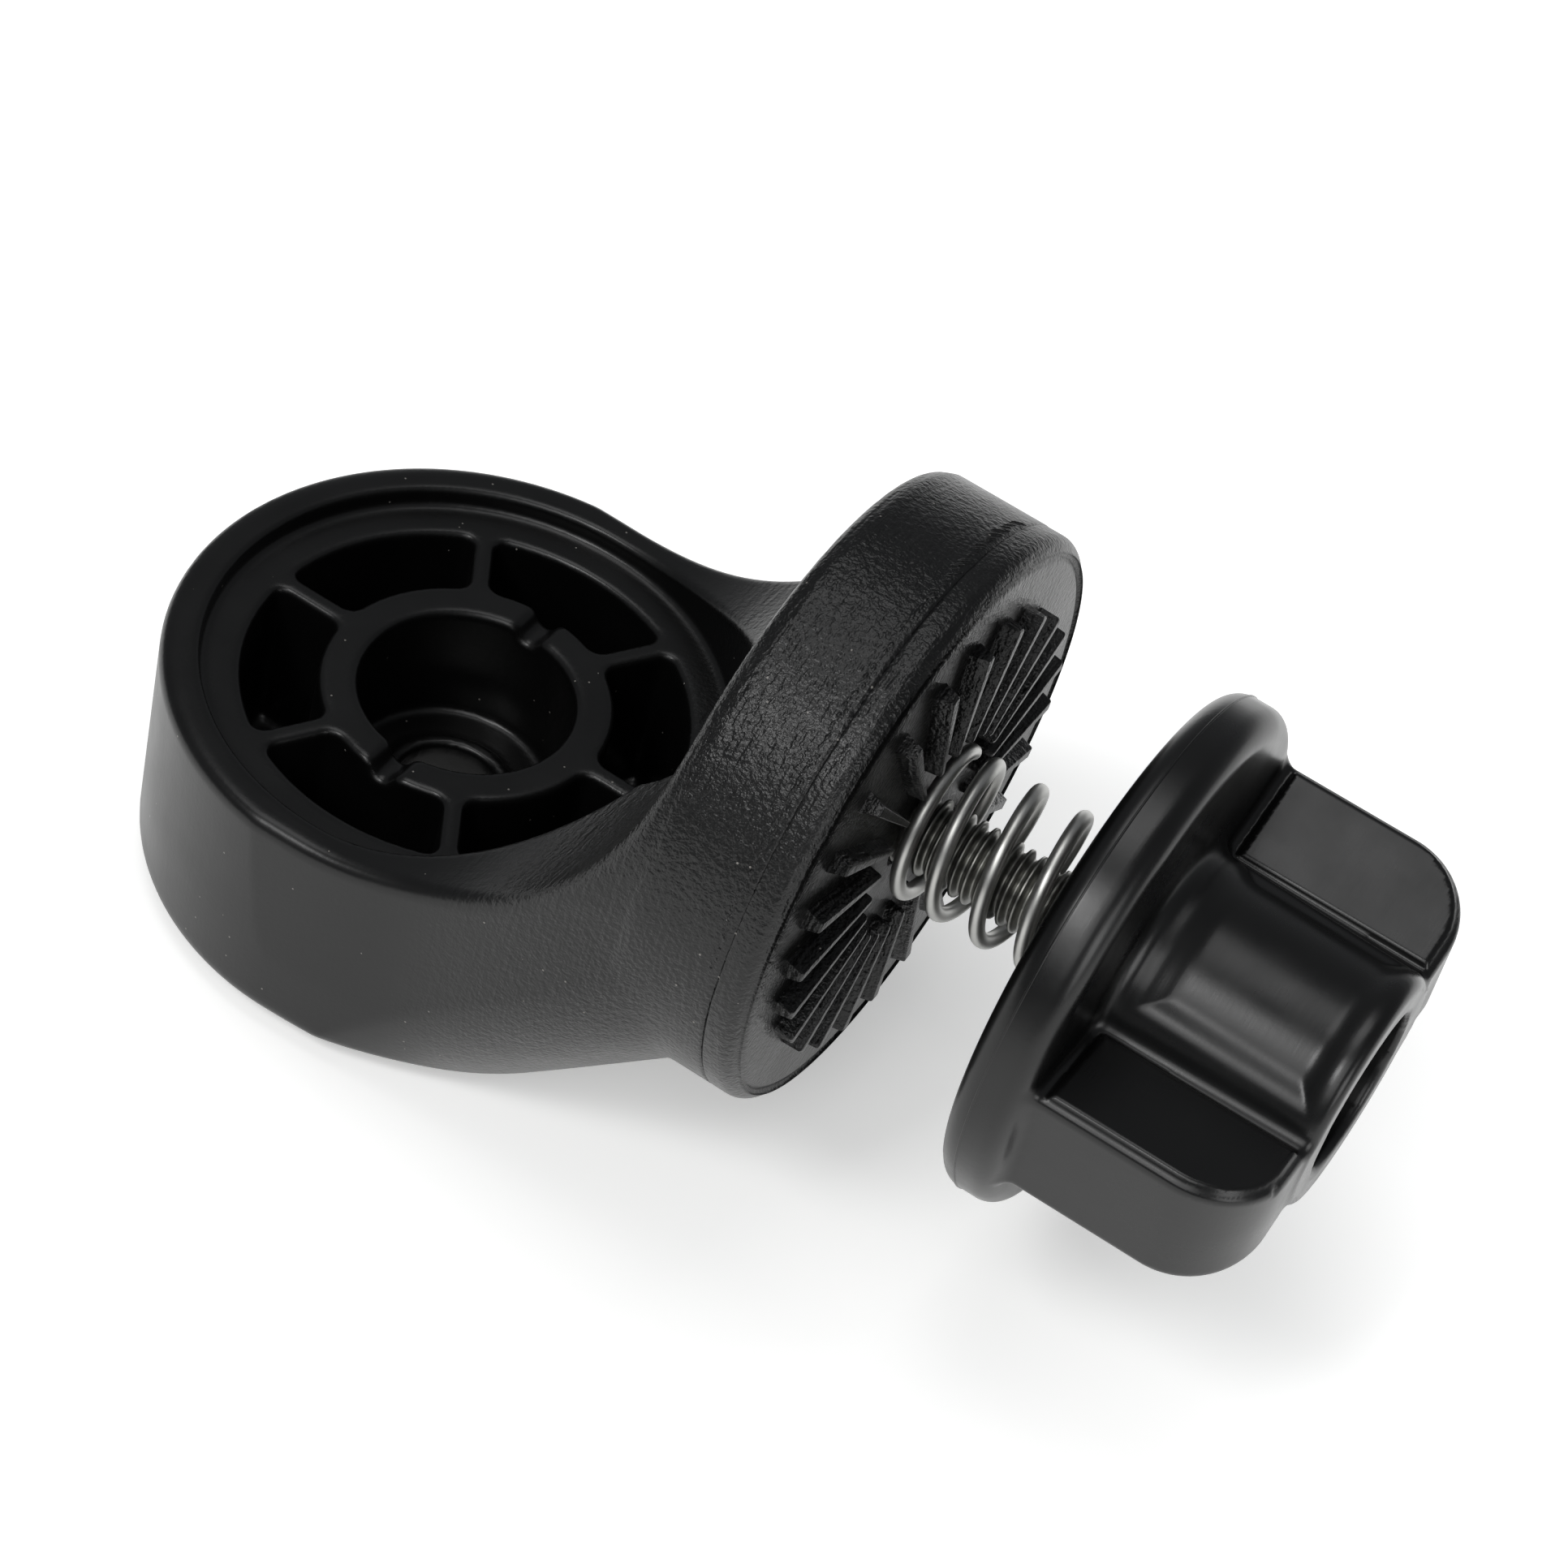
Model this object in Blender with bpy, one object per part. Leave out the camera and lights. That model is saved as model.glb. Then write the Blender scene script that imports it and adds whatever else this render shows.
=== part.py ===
"""Right-angle toothed pivot joint with a spring-loaded wing knob.

Metres, +Z up. The base eye stands on its toothed face with its axis along Z, and the joint
eye's axis runs along X through a bolt, a spring and the wing knob. Stations are distances
along X from the base eye's axis. The origin is the bottom centre of the bounding box.
"""
import math

import bmesh
import bpy
from mathutils import Matrix, Vector

# Base eye (axis vertical)
BASE_RADIUS = 0.0233
BASE_FOOT_RADIUS = 0.0229
RIM_HEIGHT = 0.0206
RIM_LIP_WIDTH = 0.0030
LEDGE_DROP = 0.0017
WINDOW_RADIUS = 0.0171
WINDOW_FLOOR = 0.0050
HUB_RADIUS = 0.0113
HUB_BORE_RADIUS = 0.0083
HUB_FLOOR = 0.0083
HUB_HOLE_RADIUS = 0.00405
HUB_NOTCH_WIDTH = 0.0036
HUB_NOTCH_DEPTH = 0.0018
SPOKE_COUNT = 6
SPOKE_WIDTH = 0.0016

# Joint eye (axis along X)
EYE_RADIUS = 0.0232
EYE_AXIS_HEIGHT = 0.0313
EYE_BACK = 0.0255
EYE_SKIRT = 0.0342
SKIRT_TUCK = 0.0009
EYE_FACE = 0.0368
EYE_EDGE_ROUND = 0.0014
SEAT_FLOOR = 0.0280
HEX_POCKET_FLOOR = 0.0326
BOLT_CLEARANCE_RADIUS = 0.0033

# Radial teeth on both eye faces
TOOTH_COUNT = 24
TOOTH_OUTER_RADIUS = 0.0180
TOOTH_INNER_RADIUS = 0.0082
TOOTH_HEIGHT = 0.0014
TOOTH_FOOT_SHARE = 0.40
TOOTH_CREST_SHARE = 0.18
TOOTH_ROOTING = 0.0004

# M6 bolt and nut
BOLT_RADIUS = 0.0030
BOLT_HEAD_BACK = 0.0283
BOLT_HEAD_FRONT = 0.0323
BOLT_END = 0.0712
HEX_ACROSS_FLATS = 0.0100
HEX_CLEARANCE = 0.0006
NUT_BACK = 0.0655
NUT_FRONT = 0.0705

# Compression spring and its seat washer
SPRING_START = 0.0371
SPRING_END = 0.0540
SPRING_RADIUS = 0.0056
WIRE_RADIUS = 0.0006
SPRING_TURNS = 5.2
CLOSED_TURNS = 0.25
RAMP_TURNS = 1.0
SPRING_START_ANGLE = math.radians(-138.0)
SPRING_OFFSET = (0.0008, 0.0008)
WASHER_BACK = 0.0543
WASHER_FRONT = 0.0553
WASHER_RADIUS = 0.0075

# Wing knob
FLANGE_BACK = 0.0514
FLANGE_FRONT = 0.0563
FLANGE_RADIUS = 0.0201
FLANGE_ROUND = 0.0022
KNOB_END = 0.0736
BOSS_ROOT_RADIUS = 0.0092
BOSS_END_RADIUS = 0.0086
BOSS_FILLET = 0.0016
CUP_RADIUS = 0.0078
CUP_FLOOR = 0.0556
NUT_POCKET_FLOOR = 0.0652
END_RECESS_RADIUS = 0.0064
END_RECESS_FLOOR = 0.0706
WING_ANGLE = math.radians(-8.0)
WING_REACH = 0.0181
WING_TIP_ROUND = 0.0062
WING_FRONT = 0.0734
WING_HALF_AT_AXIS = 0.0017
WING_FLARE = 0.22
WING_EDGE_ROUND = 0.0012

ROUND_SEGMENTS = 72
HOLE_SEGMENTS = 40
CUT_MARGIN = 0.001
SAME_PLANE_ANGLE = 0.002
SAME_PLACE = 0.0001

BASE_AXIS_X = (BASE_RADIUS - KNOB_END) / 2
LEDGE_HEIGHT = RIM_HEIGHT - LEDGE_DROP
EYE_CENTRE = Vector((BASE_AXIS_X, 0.0, EYE_AXIS_HEIGHT))


# Frames: a local frame has its own z along the axis being turned about.

def base_frame():
    """Local z up along the base eye's axis, origin at the standing plane."""
    return Matrix.Translation((BASE_AXIS_X, 0.0, 0.0))


def eye_frame(roll=0.0):
    """Local z along +X through the joint eye. Unrolled, local x runs along -Y and local y down."""
    across = Vector((0.0, -math.cos(roll), math.sin(roll)))
    along = Vector((1.0, 0.0, 0.0))
    third = along.cross(across)
    turn = Matrix((across, third, along)).transposed().to_4x4()
    return Matrix.Translation(EYE_CENTRE) @ turn


def foot_frame():
    """Local z down through the base eye, so that its toothed face is at local z = 0."""
    return Matrix.Translation((BASE_AXIS_X, 0.0, TOOTH_HEIGHT)) @ Matrix.Rotation(math.pi, 4, "X")


# Mesh builders

def clear_scene():
    for old in list(bpy.data.objects):
        bpy.data.objects.remove(old, do_unlink=True)


def plastic_or_metal(name, colour, roughness, metallic):
    material = bpy.data.materials.new(name)
    material.use_nodes = True
    shader = material.node_tree.nodes["Principled BSDF"]
    shader.inputs["Base Color"].default_value = (*colour, 1.0)
    shader.inputs["Roughness"].default_value = roughness
    shader.inputs["Metallic"].default_value = metallic
    return material


def finish(name, bm, frame, pivot=None):
    """Turn a bmesh built in a local frame into an object whose origin is at pivot."""
    bmesh.ops.transform(bm, matrix=frame, verts=bm.verts)
    origin = Vector(pivot) if pivot is not None else Vector((0.0, 0.0, 0.0))
    bmesh.ops.translate(bm, vec=-origin, verts=bm.verts)
    bmesh.ops.recalc_face_normals(bm, faces=bm.faces)
    mesh = bpy.data.meshes.new(name)
    bm.to_mesh(mesh)
    bm.free()
    obj = bpy.data.objects.new(name, mesh)
    obj.location = origin
    bpy.context.scene.collection.objects.link(obj)
    return obj


def turned_bmesh(profile, segments):
    """Solid of revolution about local z from (station, radius) pairs, closed at both ends."""
    bm = bmesh.new()
    rings = []
    for station, radius in profile:
        ring = []
        for step in range(segments):
            angle = 2 * math.pi * step / segments
            ring.append(bm.verts.new((radius * math.cos(angle), radius * math.sin(angle), station)))
        rings.append(ring)
    for lower, upper in zip(rings, rings[1:]):
        for step in range(segments):
            after = (step + 1) % segments
            bm.faces.new((lower[step], lower[after], upper[after], upper[step]))
    bm.faces.new(list(reversed(rings[0])))
    bm.faces.new(rings[-1])
    return bm


def turned(name, profile, frame, segments=ROUND_SEGMENTS, pivot=None):
    return finish(name, turned_bmesh(profile, segments), frame, pivot)


def prism_bmesh(outline, low, high):
    """Straight prism between two local z levels from a counter-clockwise outline."""
    bm = bmesh.new()
    bottom = [bm.verts.new((x, y, low)) for x, y in outline]
    top = [bm.verts.new((x, y, high)) for x, y in outline]
    count = len(outline)
    for step in range(count):
        after = (step + 1) % count
        bm.faces.new((bottom[step], bottom[after], top[after], top[step]))
    bm.faces.new(list(reversed(bottom)))
    bm.faces.new(top)
    return bm


def prism(name, outline, low, high, frame, pivot=None):
    return finish(name, prism_bmesh(outline, low, high), frame, pivot)


def hexagon(across_flats):
    corner = across_flats / 2 / math.cos(math.pi / 6)
    return [(corner * math.cos(math.pi * k / 3), corner * math.sin(math.pi * k / 3)) for k in range(6)]


def arc(centre, radius, start, stop, steps):
    """Points on an arc between two angles in degrees."""
    points = []
    for step in range(steps + 1):
        angle = math.radians(start + (stop - start) * step / steps)
        points.append((centre[0] + radius * math.cos(angle), centre[1] + radius * math.sin(angle)))
    return points


def merge(bm, other):
    """Copy the other bmesh into bm and free it."""
    copy = bpy.data.meshes.new("merge")
    other.to_mesh(copy)
    other.free()
    bm.from_mesh(copy)
    bpy.data.meshes.remove(copy)


def combine(target, tool, operation):
    """Add a Boolean that joins or cuts with a hidden tool object."""
    tool.hide_render = True
    tool.display_type = "WIRE"
    modifier = target.modifiers.new(tool.name, "BOOLEAN")
    modifier.operation = operation
    modifier.solver = "EXACT"
    modifier.object = tool


def shade(obj, degrees=35.0):
    obj.data.shade_smooth()
    obj.data.set_sharp_from_angle(angle=math.radians(degrees))


# Pivot body: one moulding with two eyes at right angles

def body_hull():
    """Convex skin around the base eye and the joint eye's skirt."""
    bm = bmesh.new()
    foot = TOOTH_HEIGHT
    step = EYE_EDGE_ROUND
    base_rings = [
        (foot, BASE_FOOT_RADIUS - step),
        (foot + 0.3 * step, BASE_FOOT_RADIUS - 0.3 * step),
        (foot + step, BASE_FOOT_RADIUS),
        (RIM_HEIGHT - 0.8 * step, BASE_RADIUS),
        (RIM_HEIGHT - 0.2 * step, BASE_RADIUS - 0.3 * step),
        (RIM_HEIGHT, BASE_RADIUS - 0.8 * step),
    ]
    for height, radius in base_rings:
        for x, y in arc((0.0, 0.0), radius, 0, 360, ROUND_SEGMENTS)[:-1]:
            bm.verts.new((BASE_AXIS_X + x, y, height))
    eye_rings = [
        (EYE_BACK, EYE_RADIUS - step),
        (EYE_BACK + 0.3 * step, EYE_RADIUS - 0.3 * step),
        (EYE_BACK + step, EYE_RADIUS),
    ]
    for station, radius in eye_rings:
        for y, z in arc((0.0, EYE_AXIS_HEIGHT), radius, 0, 360, ROUND_SEGMENTS)[:-1]:
            bm.verts.new((BASE_AXIS_X + station, y, z))
    for index in range(ROUND_SEGMENTS):
        angle = 2 * math.pi * index / ROUND_SEGMENTS
        radius = EYE_RADIUS - SKIRT_TUCK * min(math.sin(angle), 0.0) ** 2
        y, z = radius * math.cos(angle), EYE_AXIS_HEIGHT + radius * math.sin(angle)
        bm.verts.new((BASE_AXIS_X + EYE_SKIRT, y, z))
    bmesh.ops.convex_hull(bm, input=bm.verts)
    bmesh.ops.dissolve_limit(bm, angle_limit=SAME_PLANE_ANGLE, verts=bm.verts, edges=bm.edges)
    return finish("pivot_body", bm, Matrix.Identity(4))


def sweep_cutter():
    """Everything above the rim plane and behind the joint eye, under a concave arc."""
    centre = (0.0, RIM_HEIGHT + EYE_BACK)
    curve = arc(centre, EYE_BACK, -90, 0, 24)
    far = 0.060
    outline = [(-far, RIM_HEIGHT)] + curve + [(EYE_BACK, far + centre[1]), (-far, far + centre[1])]
    facing = Matrix(((1, 0, 0, BASE_AXIS_X), (0, 0, -1, 0), (0, 1, 0, 0), (0, 0, 0, 1)))
    return prism("cut_sweep", outline, -far / 2, far / 2, facing)


def eye_face_ring():
    """Full round front of the joint eye, with its rounded bead."""
    step = EYE_EDGE_ROUND
    profile = [
        (EYE_BACK + 2 * step, EYE_RADIUS),
        (EYE_FACE - step, EYE_RADIUS),
        (EYE_FACE - 0.3 * step, EYE_RADIUS - 0.3 * step),
        (EYE_FACE, EYE_RADIUS - step),
    ]
    return turned("add_eye_face", profile, eye_frame())


def teeth(name, frame, face):
    """Ring of radial teeth that rise from a face and narrow towards the axis."""
    bm = bmesh.new()
    pitch = 2 * math.pi / TOOTH_COUNT
    levels = [(face - TOOTH_ROOTING, TOOTH_FOOT_SHARE), (face + TOOTH_HEIGHT, TOOTH_CREST_SHARE)]
    inner, outer = TOOTH_INNER_RADIUS, TOOTH_OUTER_RADIUS
    outline = [(inner, -1), (outer, -1), (outer, 1), (inner, 1)]
    for index in range(TOOTH_COUNT):
        rotation = Matrix.Rotation(index * pitch, 4, "Z")
        corners = []
        for level, share in levels:
            for radius, side in outline:
                half = radius * pitch * share / 2
                corners.append(bm.verts.new(rotation @ Vector((radius, side * half, level))))
        low, high = corners[:4], corners[4:]
        bm.faces.new(list(reversed(low)))
        bm.faces.new(high)
        for step in range(4):
            after = (step + 1) % 4
            bm.faces.new((low[step], low[after], high[after], high[step]))
    return finish(name, bm, frame)


def window_cutter():
    """Six pockets between the spokes of the base eye."""
    bm = bmesh.new()
    sector = 360.0 / SPOKE_COUNT
    for index in range(SPOKE_COUNT):
        outer_gap = math.degrees(SPOKE_WIDTH / 2 / WINDOW_RADIUS)
        inner_gap = math.degrees(SPOKE_WIDTH / 2 / HUB_RADIUS)
        start = index * sector
        outer = arc((0, 0), WINDOW_RADIUS, start + outer_gap, start + sector - outer_gap, 10)
        inner = arc((0, 0), HUB_RADIUS, start + sector - inner_gap, start + inner_gap, 10)
        merge(bm, prism_bmesh(outer + inner, WINDOW_FLOOR, RIM_HEIGHT + CUT_MARGIN))
    return finish("cut_windows", bm, base_frame())


def pivot_body(material):
    body = body_hull()
    combine(body, sweep_cutter(), "DIFFERENCE")
    combine(body, eye_face_ring(), "UNION")
    combine(body, teeth("add_eye_teeth", eye_frame(), EYE_FACE), "UNION")
    combine(body, teeth("add_foot_teeth", foot_frame(), 0.0), "UNION")
    above = EYE_AXIS_HEIGHT + EYE_RADIUS
    recess = BASE_RADIUS - RIM_LIP_WIDTH
    combine(body, turned("cut_ledge", [(LEDGE_HEIGHT, recess), (above, recess)], base_frame()), "DIFFERENCE")
    combine(body, window_cutter(), "DIFFERENCE")
    bore = [(HUB_FLOOR, HUB_BORE_RADIUS), (above, HUB_BORE_RADIUS)]
    combine(body, turned("cut_hub_bore", bore, base_frame(), HOLE_SEGMENTS), "DIFFERENCE")
    hole = [(-TOOTH_HEIGHT, HUB_HOLE_RADIUS), (HUB_FLOOR + TOOTH_HEIGHT, HUB_HOLE_RADIUS)]
    combine(body, turned("cut_hub_hole", hole, base_frame(), HOLE_SEGMENTS), "DIFFERENCE")
    half = HUB_NOTCH_WIDTH / 2
    reach = HUB_RADIUS + CUT_MARGIN
    slot = [(-half, -reach), (half, -reach), (half, reach), (-half, reach)]
    notch_floor = LEDGE_HEIGHT - HUB_NOTCH_DEPTH
    combine(body, prism("cut_hub_notches", slot, notch_floor, RIM_HEIGHT, base_frame()), "DIFFERENCE")
    seat = [(EYE_BACK / 2, HUB_BORE_RADIUS), (SEAT_FLOOR, HUB_BORE_RADIUS)]
    combine(body, turned("cut_seat", seat, eye_frame(), HOLE_SEGMENTS), "DIFFERENCE")
    pocket = hexagon(HEX_ACROSS_FLATS + HEX_CLEARANCE)
    pocket_start = SEAT_FLOOR - CUT_MARGIN
    combine(body, prism("cut_hex_pocket", pocket, pocket_start, HEX_POCKET_FLOOR, eye_frame()), "DIFFERENCE")
    bolt_way = [(SEAT_FLOOR, BOLT_CLEARANCE_RADIUS), (EYE_FACE + TOOTH_HEIGHT, BOLT_CLEARANCE_RADIUS)]
    combine(body, turned("cut_bolt_way", bolt_way, eye_frame(), HOLE_SEGMENTS), "DIFFERENCE")
    body.data.materials.append(material)
    return body


# Fasteners and spring

def axle_bolt(material):
    """Hexagon head held in the eye's pocket, and a shank through spring and knob."""
    chamfer = 0.0008
    shank = turned(
        "axle_bolt",
        [(BOLT_HEAD_FRONT - CUT_MARGIN, BOLT_RADIUS), (BOLT_END - chamfer, BOLT_RADIUS),
         (BOLT_END, BOLT_RADIUS - chamfer)],
        eye_frame(), 32)
    head = prism("add_bolt_head", hexagon(HEX_ACROSS_FLATS), BOLT_HEAD_BACK, BOLT_HEAD_FRONT, eye_frame())
    combine(shank, head, "UNION")
    shank.data.materials.append(material)
    return shank


def spring_station(turn):
    """Distance along the axis after a number of turns: close at both ends, open between."""
    close_pitch = 2.1 * WIRE_RADIUS
    end_turns = CLOSED_TURNS + RAMP_TURNS
    length = SPRING_END - SPRING_START - 2 * WIRE_RADIUS
    open_turns = SPRING_TURNS - 2 * end_turns
    open_pitch = (length - close_pitch * (2 * CLOSED_TURNS + RAMP_TURNS)) / (open_turns + RAMP_TURNS)

    def from_end(count):
        closed = min(count, CLOSED_TURNS) * close_pitch
        ramped = min(max(count - CLOSED_TURNS, 0.0), RAMP_TURNS)
        slope = (open_pitch - close_pitch) / RAMP_TURNS
        opened = max(count - end_turns, 0.0) * open_pitch
        return closed + ramped * close_pitch + slope * ramped ** 2 / 2 + opened

    if turn <= SPRING_TURNS / 2:
        return SPRING_START + WIRE_RADIUS + from_end(turn)
    return SPRING_END - WIRE_RADIUS - from_end(SPRING_TURNS - turn)


def spring(material):
    """Helical wire made from a ring of points carried along the helix."""
    steps_per_turn = 20
    wire_sides = 8
    probe = 0.02
    steps = round(SPRING_TURNS * steps_per_turn)
    bm = bmesh.new()
    rings = []
    for step in range(steps + 1):
        turn = step / steps_per_turn
        angle = 2 * math.pi * turn + SPRING_START_ANGLE
        after, before = min(turn + probe, SPRING_TURNS), max(turn - probe, 0.0)
        climb = (spring_station(after) - spring_station(before)) / (after - before)
        outward = Vector((math.cos(angle), math.sin(angle), 0.0))
        forward = Vector((-math.sin(angle) * SPRING_RADIUS * 2 * math.pi,
                          math.cos(angle) * SPRING_RADIUS * 2 * math.pi, climb)).normalized()
        sideways = forward.cross(outward).normalized()
        centre = SPRING_RADIUS * outward + Vector((0.0, 0.0, spring_station(turn)))
        ring = []
        for side in range(wire_sides):
            around = 2 * math.pi * side / wire_sides
            offset = WIRE_RADIUS * (math.cos(around) * outward + math.sin(around) * sideways)
            ring.append(bm.verts.new(centre + offset))
        rings.append(ring)
    for one, other in zip(rings, rings[1:]):
        for side in range(wire_sides):
            after = (side + 1) % wire_sides
            bm.faces.new((one[side], one[after], other[after], other[side]))
    bm.faces.new(list(reversed(rings[0])))
    bm.faces.new(rings[-1])
    aside = Matrix.Translation((0.0, SPRING_OFFSET[0], SPRING_OFFSET[1]))
    coil = finish("spring", bm, aside @ eye_frame())
    coil.data.materials.append(material)
    return coil


def ring_part(name, outer_tool, material, pivot):
    """Drill the bolt clearance through a small turned or hexagonal piece."""
    way = [(0.0, BOLT_CLEARANCE_RADIUS), (KNOB_END, BOLT_CLEARANCE_RADIUS)]
    combine(outer_tool, turned("cut_" + name, way, eye_frame(), HOLE_SEGMENTS), "DIFFERENCE")
    outer_tool.name = name
    outer_tool.location = pivot
    outer_tool.data.materials.append(material)
    return outer_tool


def seat_washer(material):
    profile = [(WASHER_BACK, WASHER_RADIUS), (WASHER_FRONT, WASHER_RADIUS)]
    disc = turned("seat_washer", profile, eye_frame(), 48, EYE_CENTRE)
    return ring_part("seat_washer", disc, material, EYE_CENTRE)


def captive_nut(material):
    outline = hexagon(HEX_ACROSS_FLATS)
    blank = prism("captive_nut", outline, NUT_BACK, NUT_FRONT, eye_frame(WING_ANGLE), EYE_CENTRE)
    return ring_part("captive_nut", blank, material, EYE_CENTRE)


# Wing knob

def knob_blank():
    """Flange with a rounded rim and the central boss, turned in one."""
    step = FLANGE_ROUND
    end = 0.0006
    profile = [
        (FLANGE_BACK, FLANGE_RADIUS - step),
        (FLANGE_BACK + 0.3 * step, FLANGE_RADIUS - 0.3 * step),
        (FLANGE_BACK + step, FLANGE_RADIUS),
        (FLANGE_FRONT - step, FLANGE_RADIUS),
        (FLANGE_FRONT - 0.3 * step, FLANGE_RADIUS - 0.3 * step),
        (FLANGE_FRONT, FLANGE_RADIUS - step),
        (FLANGE_FRONT, BOSS_ROOT_RADIUS + BOSS_FILLET),
        (FLANGE_FRONT + 0.3 * BOSS_FILLET, BOSS_ROOT_RADIUS + 0.3 * BOSS_FILLET),
        (FLANGE_FRONT + BOSS_FILLET, BOSS_ROOT_RADIUS),
        (KNOB_END - end, BOSS_END_RADIUS),
        (KNOB_END, BOSS_END_RADIUS - end),
    ]
    return turned("wing_knob", profile, eye_frame(WING_ANGLE), ROUND_SEGMENTS, EYE_CENTRE)


def wings():
    """Two opposite wings that thicken outwards and round off at their outer end corners."""
    bm = bmesh.new()
    root = BOSS_ROOT_RADIUS / 2
    sunk = FLANGE_FRONT - CUT_MARGIN
    centre = (WING_FRONT - WING_TIP_ROUND, WING_REACH - WING_TIP_ROUND)
    outline = [(sunk, root), (WING_FRONT, root)]
    outline += arc(centre, WING_TIP_ROUND, 0, 90, 8)
    outline += [(sunk, WING_REACH)]
    for side in (1, -1):
        faces = []
        for sign in (1, -1):
            verts = []
            for station, reach in outline:
                half = WING_HALF_AT_AXIS + WING_FLARE * reach
                verts.append(bm.verts.new((side * reach, sign * half, station)))
            faces.append(verts)
        bm.faces.new(faces[0])
        bm.faces.new(list(reversed(faces[1])))
        count = len(outline)
        for step in range(count):
            after = (step + 1) % count
            bm.faces.new((faces[0][step], faces[0][after], faces[1][after], faces[1][step]))
    edges = [edge for edge in bm.edges if is_outer_wing_edge(edge, sunk)]
    bmesh.ops.recalc_face_normals(bm, faces=bm.faces)
    bmesh.ops.bevel(bm, geom=edges, offset=WING_EDGE_ROUND, segments=2, profile=0.5, affect="EDGES")
    return finish("add_wings", bm, eye_frame(WING_ANGLE))


def is_outer_wing_edge(edge, sunk):
    """An edge of a wing's outline, apart from those in the flange, in the boss and across the wing."""
    one, other = (vert.co for vert in edge.verts)
    across_wing = one.y * other.y < 0
    in_flange = max(one.z, other.z) < sunk + SAME_PLACE
    in_boss = max(abs(one.x), abs(other.x)) < BOSS_ROOT_RADIUS / 2 + SAME_PLACE
    return not (across_wing or in_flange or in_boss)


def wing_knob(material):
    knob = knob_blank()
    combine(knob, wings(), "UNION")
    cup = [(FLANGE_BACK - CUT_MARGIN, CUP_RADIUS), (CUP_FLOOR, CUP_RADIUS)]
    combine(knob, turned("cut_cup", cup, eye_frame(), HOLE_SEGMENTS), "DIFFERENCE")
    way = [(CUP_FLOOR - CUT_MARGIN, BOLT_CLEARANCE_RADIUS), (KNOB_END, BOLT_CLEARANCE_RADIUS)]
    combine(knob, turned("cut_knob_way", way, eye_frame(), HOLE_SEGMENTS), "DIFFERENCE")
    pocket = hexagon(HEX_ACROSS_FLATS + HEX_CLEARANCE)
    frame = eye_frame(WING_ANGLE)
    combine(knob, prism("cut_nut_pocket", pocket, NUT_POCKET_FLOOR, KNOB_END, frame), "DIFFERENCE")
    recess = [(END_RECESS_FLOOR, END_RECESS_RADIUS), (KNOB_END + CUT_MARGIN, END_RECESS_RADIUS)]
    combine(knob, turned("cut_end_recess", recess, eye_frame(), HOLE_SEGMENTS), "DIFFERENCE")
    knob.data.materials.append(material)
    return knob


def main():
    clear_scene()
    nylon = plastic_or_metal("black_nylon", (0.018, 0.018, 0.019), 0.42, 0.0)
    knob_nylon = plastic_or_metal("knob_nylon", (0.016, 0.016, 0.017), 0.36, 0.0)
    zinc_steel = plastic_or_metal("zinc_steel", (0.55, 0.55, 0.54), 0.32, 1.0)
    spring_steel = plastic_or_metal("spring_steel", (0.58, 0.58, 0.57), 0.24, 1.0)
    pieces = [
        pivot_body(nylon),
        axle_bolt(zinc_steel),
        spring(spring_steel),
        seat_washer(zinc_steel),
        wing_knob(knob_nylon),
        captive_nut(zinc_steel),
    ]
    for piece in pieces:
        shade(piece)


main()
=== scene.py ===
import math
import bmesh
import bpy
import numpy as np
from mathutils import Matrix, Vector


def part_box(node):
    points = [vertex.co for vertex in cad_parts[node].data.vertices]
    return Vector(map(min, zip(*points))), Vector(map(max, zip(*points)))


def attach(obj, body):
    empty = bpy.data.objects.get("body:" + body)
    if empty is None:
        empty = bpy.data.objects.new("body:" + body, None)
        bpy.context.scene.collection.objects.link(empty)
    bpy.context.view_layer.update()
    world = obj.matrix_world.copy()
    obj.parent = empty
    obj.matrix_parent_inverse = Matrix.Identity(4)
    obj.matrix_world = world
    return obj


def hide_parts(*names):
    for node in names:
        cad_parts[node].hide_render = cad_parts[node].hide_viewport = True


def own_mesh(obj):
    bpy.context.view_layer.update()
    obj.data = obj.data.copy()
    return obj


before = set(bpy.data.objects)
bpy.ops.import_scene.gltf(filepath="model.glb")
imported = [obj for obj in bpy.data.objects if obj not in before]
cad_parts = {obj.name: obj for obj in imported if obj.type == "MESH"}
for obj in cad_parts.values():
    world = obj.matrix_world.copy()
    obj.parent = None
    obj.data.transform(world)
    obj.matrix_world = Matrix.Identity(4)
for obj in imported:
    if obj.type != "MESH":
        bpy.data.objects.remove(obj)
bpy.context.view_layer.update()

mm = 0.001  # the frame is in metres, the pieces below are worked out in millimetres
scene = bpy.context.scene

# Where things are: stations run along X from the base eye's axis, heights run up from the floor.
bodyLow, bodyHigh = (np.array(corner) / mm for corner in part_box("pivot_body"))
boltLow, boltHigh = (np.array(corner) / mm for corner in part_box("axle_bolt"))
baseRadius = (bodyHigh[1] - bodyLow[1]) / 2
baseAxis = bodyLow[0] + baseRadius
eyeHeight = (boltLow[2] + boltHigh[2]) / 2
eyeRadius = bodyHigh[2] - eyeHeight
print("frame loaded: base radius %.1f mm, joint axis %.1f mm up" % (baseRadius, eyeHeight))


# Fields: signed distances in millimetres, negative inside the material.

def roundOut(a, b, radius):
    # both must be negative, and the edge where they meet is an arc of that radius
    corner = np.hypot(np.maximum(a + radius, 0), np.maximum(b + radius, 0))
    return np.minimum(np.maximum(a, b), -radius) + corner


def roundIn(a, b, radius):
    # either may be negative, and the inner corner where they meet is a fillet of that radius
    corner = np.hypot(np.maximum(radius - a, 0), np.maximum(radius - b, 0))
    return np.maximum(np.minimum(a, b), radius) - corner


def cut(solid, tool, radius):
    return roundOut(solid, -tool, radius)


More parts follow.
